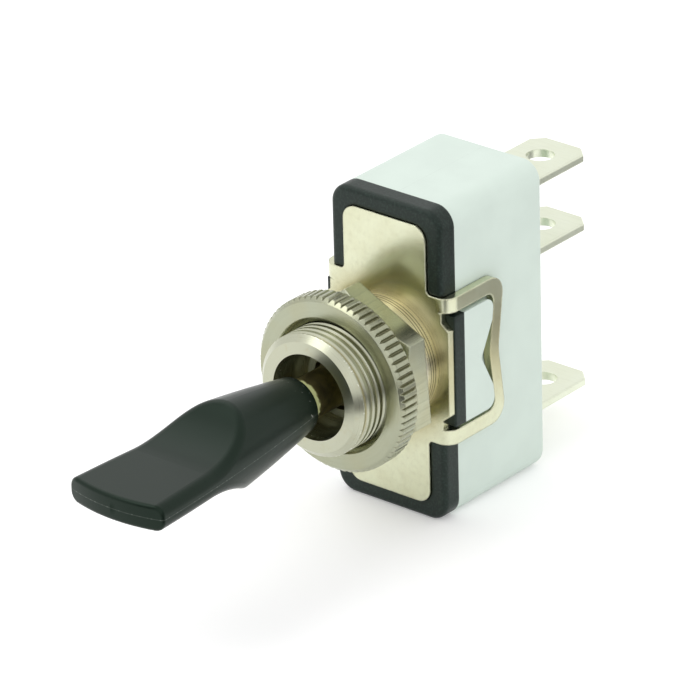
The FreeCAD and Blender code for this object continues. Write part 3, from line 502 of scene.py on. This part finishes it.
def turned_brass(name, colours, handle_root_y, edge):
    """Dull brass rod with a pale ragged ring where the handle starts."""
    shader = Shader(name)
    # A pale non-metallic ring with a ragged edge on the shank, up to where the handle starts.
    ragged = shader.noise(shader.place, RING_RAGS, 4.0, 0.7) * 0.0008 - 0.0002
    ring = shader.step(shader.y + ragged, handle_root_y + 0.0014, handle_root_y + 0.0012)
    marks = shader.noise(shader.turned(shader.radius(), SHANK_MARKS), 1.0, 3.0)
    stain = shader.noise(shader.place, SHANK_STAINS, 3.0)
    dull = shader.mix(shader.step(stain, 0.35, 0.7), colours.brass, toned(colours.brass, 0.6))
    paint = shader.mix(ring, dull, colours.bright_brass)
    return shader.finish(paint, marks * 0.2 + 0.26, 1.0 - ring, marks, 0.000004, edge)


def dress(piece, material):
    """Give an object its only material."""
    piece.data.materials.clear()
    piece.data.materials.append(material)


def dress_node(node, material):
    """Give a CAD node its only material."""
    dress(frame["nodes"][node], material)


def deselect():
    for other in bpy.context.selected_objects:
        other.select_set(False)


def only(piece):
    """Select the piece alone and make it the active one."""
    deselect()
    piece.select_set(True)
    bpy.context.view_layer.objects.active = piece


def lone_copy(node, name):
    """Copy of a CAD node, free of its body, with its doubles merged."""
    only(frame["nodes"][node])
    bpy.ops.object.duplicate()
    piece = bpy.context.active_object
    piece.name = name
    piece.data.name = name
    piece.parent = None
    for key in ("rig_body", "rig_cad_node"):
        del piece[key]
    bpy.ops.object.mode_set(mode="EDIT")
    bpy.ops.mesh.select_all(action="SELECT")
    bpy.ops.mesh.customdata_custom_splitnormals_clear()
    bpy.ops.mesh.remove_doubles(threshold=SAME_POINT)
    bpy.ops.object.mode_set(mode="OBJECT")
    return piece


def cut_round(piece, y):
    """Cut the piece's faces by a plane across the bushing axis."""
    only(piece)
    bpy.ops.object.mode_set(mode="EDIT")
    bpy.ops.mesh.select_all(action="SELECT")
    bpy.ops.mesh.bisect(plane_co=(0, y, 0), plane_no=(0, 1, 0))
    bpy.ops.object.mode_set(mode="OBJECT")


def pick_points(piece, test):
    """Select the points that pass the test, in object mode."""
    bpy.ops.object.mode_set(mode="EDIT")
    bpy.ops.mesh.select_mode(type="VERT")
    bpy.ops.mesh.select_all(action="DESELECT")
    bpy.ops.object.mode_set(mode="OBJECT")
    chosen = 0
    for point in piece.data.vertices:
        point.select = test(point.co)
        chosen += point.select
    if not chosen:
        raise RuntimeError("no point to work on in " + piece.name)


def reach_of(place):
    """Distance of a point from the bushing axis."""
    return math.hypot(place.x, place.z)


def ease_in(ridge, root):
    """Let the ridge rise from the root over its first steps."""
    for index, point in enumerate(ridge.data.vertices):
        reach = reach_of(point.co)
        if reach > root:
            rise = min(1.0, (index // RIDGE_CORNERS) / RIDGE_RISE)
            scale = (root + (reach - root) * rise) / reach
            point.co.x *= scale
            point.co.z *= scale


def thread_ridge(sizes, low, high):
    """Helical ridge with a flat crest, from low to high along the bushing axis."""
    deselect()
    pitch = sizes.thread_pitch
    root = sizes.thread_radius - sizes.thread_depth
    # The section is a flat hexagon round the root line, and its outer flat is the crest.
    side = sizes.thread_depth / math.cos(math.pi / RIDGE_CORNERS)
    bpy.ops.mesh.primitive_circle_add(
        vertices=RIDGE_CORNERS, radius=side, fill_type="NOTHING", location=(root, low, 0))
    ridge = bpy.context.active_object
    ridge.name = "thread_ridge"
    bpy.ops.object.transform_apply(location=True, rotation=True, scale=True)
    bpy.ops.object.mode_set(mode="EDIT")
    bpy.ops.mesh.select_all(action="SELECT")
    bpy.ops.transform.resize(
        value=(1, pitch * RIDGE_HALF_WIDTH / side, 1), center_override=(0, low, 0))
    bpy.ops.object.mode_set(mode="OBJECT")
    screw = ridge.modifiers.new("Screw", "SCREW")
    screw.axis = "Y"
    screw.angle = 2 * math.pi
    screw.screw_offset = pitch
    screw.iterations = math.floor((high - low) / pitch)
    screw.steps = RIDGE_STEPS
    screw.render_steps = RIDGE_STEPS
    bpy.ops.object.modifier_apply(modifier="Screw")
    ease_in(ridge, root)
    bpy.ops.object.mode_set(mode="EDIT")
    bpy.ops.mesh.select_all(action="SELECT")
    bpy.ops.mesh.select_non_manifold(
        extend=False, use_wire=False, use_boundary=True, use_multi_face=False,
        use_non_contiguous=False, use_verts=False)
    bpy.ops.mesh.fill_holes(sides=RIDGE_CORNERS)
    bpy.ops.mesh.select_all(action="SELECT")
    bpy.ops.mesh.normals_make_consistent(inside=False)
    bpy.ops.object.mode_set(mode="OBJECT")
    return ridge


class SWITCH_OT_threaded_bushing(bpy.types.Operator):
    """Turned bushing with its real helical thread"""

    bl_idname = "switch.threaded_bushing"
    bl_label = "Threaded bushing"

    def execute(self, context):
        sizes = context.scene.switch_sizes
        piece = lone_copy("bushing", "bushing_threaded")
        front_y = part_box("bushing")[0].y
        crest = sizes.thread_radius
        root = crest - sizes.thread_depth
        barrel = [p.co.y for p in piece.data.vertices if reach_of(p.co) > crest - SAME_PLACE]
        nose = min(barrel)
        seat = max(barrel)
        mouth = min(reach_of(p.co) for p in piece.data.vertices
                    if p.co.y < front_y + SAME_PLACE)
        start = nose + sizes.collar_length
        end = seat - sizes.rear_collar
        for y in (start, start + sizes.thread_depth, end - sizes.thread_depth, end):
            cut_round(piece, y)
        pick_points(piece, lambda p: reach_of(p) > crest * BARREL_SHARE
                    and start + CLEAR_OF < p.y < end - CLEAR_OF)
        bpy.ops.object.mode_set(mode="EDIT")
        bpy.ops.transform.resize(value=(root / crest, 1, root / crest), center_override=CENTRE)
        bpy.ops.mesh.select_all(action="SELECT")
        bpy.ops.mesh.normals_make_consistent(inside=False)
        bpy.ops.object.mode_set(mode="OBJECT")
        ridge = thread_ridge(sizes, start + sizes.thread_pitch * RIDGE_GAP,
                             end - sizes.thread_pitch / 2)
        only(piece)
        ridge.select_set(True)
        bpy.ops.object.join()
        bpy.ops.object.shade_smooth_by_angle(angle=SHARP_EDGE)
        dress(piece, threaded(
            "thread_nickel", context.scene.switch_colours, sizes, nose, mouth, seat))
        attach(piece, "housing")
        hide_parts("bushing")
        return {"FINISHED"}


class SWITCH_OT_plunger_spring(bpy.types.Operator):
    """Coil spring of the plunger as a fixed smooth copy in spring steel; the real spring
    shortens as the plunger is pushed in
    """

    bl_idname = "switch.plunger_spring"
    bl_label = "Plunger spring"

    def execute(self, context):
        colours = context.scene.switch_colours
        piece = lone_copy("plunger_spring", "plunger_spring_coil")
        bpy.ops.object.shade_smooth()
        dress(piece, plated("spring_steel", colours.steel, colours.steel, 0, rough=0.3))
        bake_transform(piece)
        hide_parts("plunger_spring")
        return {"FINISHED"}


class SWITCH_OT_mouldings(bpy.types.Operator):
    """Plastic looks of the case, the cover, the handle and the parts inside"""

    bl_idname = "switch.mouldings"
    bl_label = "Mouldings"

    def execute(self, context):
        colours = context.scene.switch_colours
        edge = context.scene.switch_sizes.edge_round
        dress_node("case", moulded(
            "case_plastic", colours.case, edge, roughness=0.42, pores=0.000002, mottle=0.02,
            seam=("x", toned(colours.case, 0.8), 0.5)))
        dress_node("cover", moulded(
            "cover_plastic", colours.cover, edge * 2.5, roughness=0.38, pores=0.000016,
            shine=0.33, sheen_tint=(0.86, 1.0, 0.92), grit=0.4))
        # The handle's parting line is painted lighter than the handle.
        dress_node("handle", moulded(
            "handle_plastic", colours.handle, edge, roughness=0.3, pores=0.000002,
            shine=0.26, sheen_tint=(0.72, 1.0, 0.80), seam=("z", colours.seam, 0.45),
            dust=(colours.dust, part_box("handle")[1].y)))
        inside = moulded(
            "insulator", colours.insulator, edge, roughness=0.5, pores=0.000003)
        dress_node("actuator", inside)
        dress_node("plunger", inside)
        return {"FINISHED"}


class SWITCH_OT_metalwork(bpy.types.Operator):
    """Plated and bare metal looks of the frame, nuts, lever, terminals and contacts"""

    bl_idname = "switch.metalwork"
    bl_label = "Metalwork"

    def execute(self, context):
        colours = context.scene.switch_colours
        sizes = context.scene.switch_sizes
        edge = sizes.edge_round
        rim = sizes.thread_radius
        # The frame gets a painted reflection of the warm brass round the bushing.
        dress_node("frame", plated(
            "nickel_sheet", colours.nickel, colours.gold, edge * 2, "sheet", rough=0.26,
            painted_reflection=(rim, rim + 0.0036, 0.75), clouds=0.15, depth=0.0))
        # Painted light: the hex nut takes the nuts' plating 15 % lighter than the knurled nut.
        dress_node("hex_nut", plated(
            "nickel_nut", toned(colours.nut, 1.15), colours.gold, edge * 1.5, "drawn",
            rough=0.2, clouds=0.3, streaks=0.5))
        low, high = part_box("knurled_nut")
        dress_node("knurled_nut", plated(
            "nickel_knurl", colours.nut, colours.gold, edge, rough=0.2, clouds=0.2,
            streaks=0.3, knurl=(low.y, high.x, sizes.knurl_chamfer)))
        dress_node("lever", turned_brass(
            "brass_lever", colours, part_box("handle")[1].y, edge))
        dress_node("pivot_pin", plated(
            "pin_steel", colours.steel, colours.steel, 0, rough=0.3))
        dress_node("rocker_blade", plated(
            "contact_brass", colours.copper, colours.brass, edge, "sheet", rough=0.3))
        tabs = plated("silvered_tab", colours.tab, colours.nickel, edge, "across", rough=0.3,
                      clouds=0.3)
        for place in ("upper", "common", "lower"):
            dress_node(place + "_terminal", tabs)
        silver = plated("contact_silver", colours.silver, colours.tab, 0, rough=0.25)
        for place in ("upper", "lower"):
            for kind in ("moving", "fixed"):
                dress_node(place + "_" + kind + "_contact", silver)
        return {"FINISHED"}


def white_world():
    """White to the camera and in mirrors, a little dimmer as a light."""
    world = bpy.data.worlds.new("studio")
    world.use_nodes = True
    nodes = Nodes(world.node_tree)
    seen = nodes.seen_by("Is Camera Ray", "Is Glossy Ray", "Is Transmission Ray")
    strength = nodes.node("ShaderNodeMapRange", {}, {"Value": seen, "To Min": 0.96})
    back = nodes.tree.nodes["Background"]
    nodes.put(back.inputs["Strength"], Value(nodes, strength.outputs["Result"]))
    nodes.put(back.inputs["Color"], WHITE)
    bpy.context.scene.world = world


def lamp(name, place, size, power):
    """Round soft lamp that points at the bushing."""
    deselect()
    bpy.ops.object.light_add(type="AREA", location=place)
    light = bpy.context.active_object
    light.name = name
    light.data.shape = "DISK"
    light.data.size = size
    light.data.energy = power
    light.rotation_euler = (-Vector(place)).to_track_quat("-Z", "Y").to_euler()


def card(name, place, size, shade=0.01, facing=None):
    """Card seen only in mirrors, which gives round metal its darker streaks."""
    deselect()
    bpy.ops.mesh.primitive_plane_add(
        size=size, location=place,
        rotation=Vector(facing or place).to_track_quat("Z", "Y").to_euler())
    board = bpy.context.active_object
    board.name = name
    board.data.materials.append(Shader(name).finish((shade,) * 3, 1.0, 0.0))
    board.visible_camera = False
    board.visible_diffuse = False
    board.visible_shadow = False


def paper(colours, size, height):
    """White floor under the object, which keeps its shadow."""
    deselect()
    bpy.ops.mesh.primitive_plane_add(size=size, location=(0, 0, height))
    floor = bpy.context.active_object
    floor.name = "paper_floor"
    shader = Shader("paper")
    grain = shader.noise(shader.place, PAPER_GRAIN, 2.0)
    tint = shader.mix(grain, toned(colours.floor, 0.98), colours.floor)
    glow = shader.mix(shader.seen_by("Is Camera Ray", "Is Glossy Ray"), BLACK, WHITE)
    shader.put(shader.surface.inputs["Emission Color"], glow)
    shader.surface.inputs["Emission Strength"].default_value = 0.22
    shader.surface.inputs["Specular IOR Level"].default_value = 0.0
    floor.data.materials.append(shader.finish(tint, 0.9, 0.0))


def place_camera(view):
    """Camera that sees the object as the photograph does."""
    turn, tilt = view.azimuth, view.elevation
    back = Vector((math.sin(turn) * math.cos(tilt), -math.cos(turn) * math.cos(tilt),
                   math.sin(tilt)))
    right = Vector((math.cos(turn), math.sin(turn), 0))
    up = back.cross(right)
    place = Vector(view.aim) + back * view.distance - right * view.across - up * view.rise
    side = math.cos(view.roll) * right - math.sin(view.roll) * up
    top = math.sin(view.roll) * right + math.cos(view.roll) * up
    bpy.ops.object.camera_add()
    camera = bpy.context.active_object
    camera.name = "camera"
    camera.matrix_world = (Matrix.Translation(place)
                           @ Matrix((side, top, back)).transposed().to_4x4())
    camera.data.sensor_width = view.sensor
    camera.data.lens = view.lens
    camera.data.clip_start = 0.01
    camera.data.clip_end = 10
    bpy.context.scene.camera = camera


class SWITCH_OT_stage(bpy.types.Operator):
    """White floor and world, lamps and the camera of the photograph"""

    bl_idname = "switch.stage"
    bl_label = "Stage"

    def execute(self, context):
        white_world()
        floor_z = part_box("case")[0].z
        on_floor = floor_z + 0.001
        upward = (0, 0, 1)
        paper(context.scene.switch_colours, context.scene.switch_sizes.floor_size, floor_z)
        lamp("key", (-0.25, -0.35, 0.6), 0.4, 0.7)
        lamp("top", (-0.32, 0.12, 0.5), 0.4, 0.28)
        lamp("side", (0.5, -0.3, 0.3), 0.5, 0.2)
        card("card_right", (0.55, -0.05, 0.12), 0.3)
        card("card_front", (-0.1, -0.55, 0.05), 0.22)
        card("card_low", (0.115, -0.12, on_floor), 0.18, facing=upward)
        card("card_behind", (0.085, 0.095, on_floor), 0.13, shade=0.35, facing=upward)
        context.scene.view_settings.view_transform = "Standard"
        place_camera(context.scene.switch_view)
        return {"FINISHED"}


class SWITCH_PT_panel(bpy.types.Panel):
    """Sizes, colours and steps of the switch"""

    bl_label = "Panel toggle switch"
    bl_idname = "SWITCH_PT_panel"
    bl_space_type = "VIEW_3D"
    bl_region_type = "UI"
    bl_category = "Switch"

    def draw(self, context):
        for group in (context.scene.switch_sizes, context.scene.switch_colours,
                      context.scene.switch_view):
            box = self.layout.box()
            for name in group.__annotations__:
                box.prop(group, name)
        for step in STEPS:
            self.layout.operator(step.bl_idname)


STEPS = (
    SWITCH_OT_threaded_bushing,
    SWITCH_OT_plunger_spring,
    SWITCH_OT_mouldings,
    SWITCH_OT_metalwork,
    SWITCH_OT_stage,
)
CLASSES = (SwitchSizes, SwitchColours, SwitchView) + STEPS + (SWITCH_PT_panel,)


def register():
    for made in CLASSES:
        bpy.utils.register_class(made)
    bpy.types.Scene.switch_sizes = bpy.props.PointerProperty(type=SwitchSizes)
    bpy.types.Scene.switch_colours = bpy.props.PointerProperty(type=SwitchColours)
    bpy.types.Scene.switch_view = bpy.props.PointerProperty(type=SwitchView)


def unregister():
    del bpy.types.Scene.switch_view
    del bpy.types.Scene.switch_colours
    del bpy.types.Scene.switch_sizes
    for made in reversed(CLASSES):
        bpy.utils.unregister_class(made)


def main():
    register()
    for other in list(bpy.data.objects):
        bpy.data.objects.remove(other)
    frame.update(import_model())
    bpy.ops.switch.threaded_bushing()
    bpy.ops.switch.plunger_spring()
    bpy.ops.switch.mouldings()
    bpy.ops.switch.metalwork()
    bpy.ops.switch.stage()


if __name__ == "__main__":
    main()
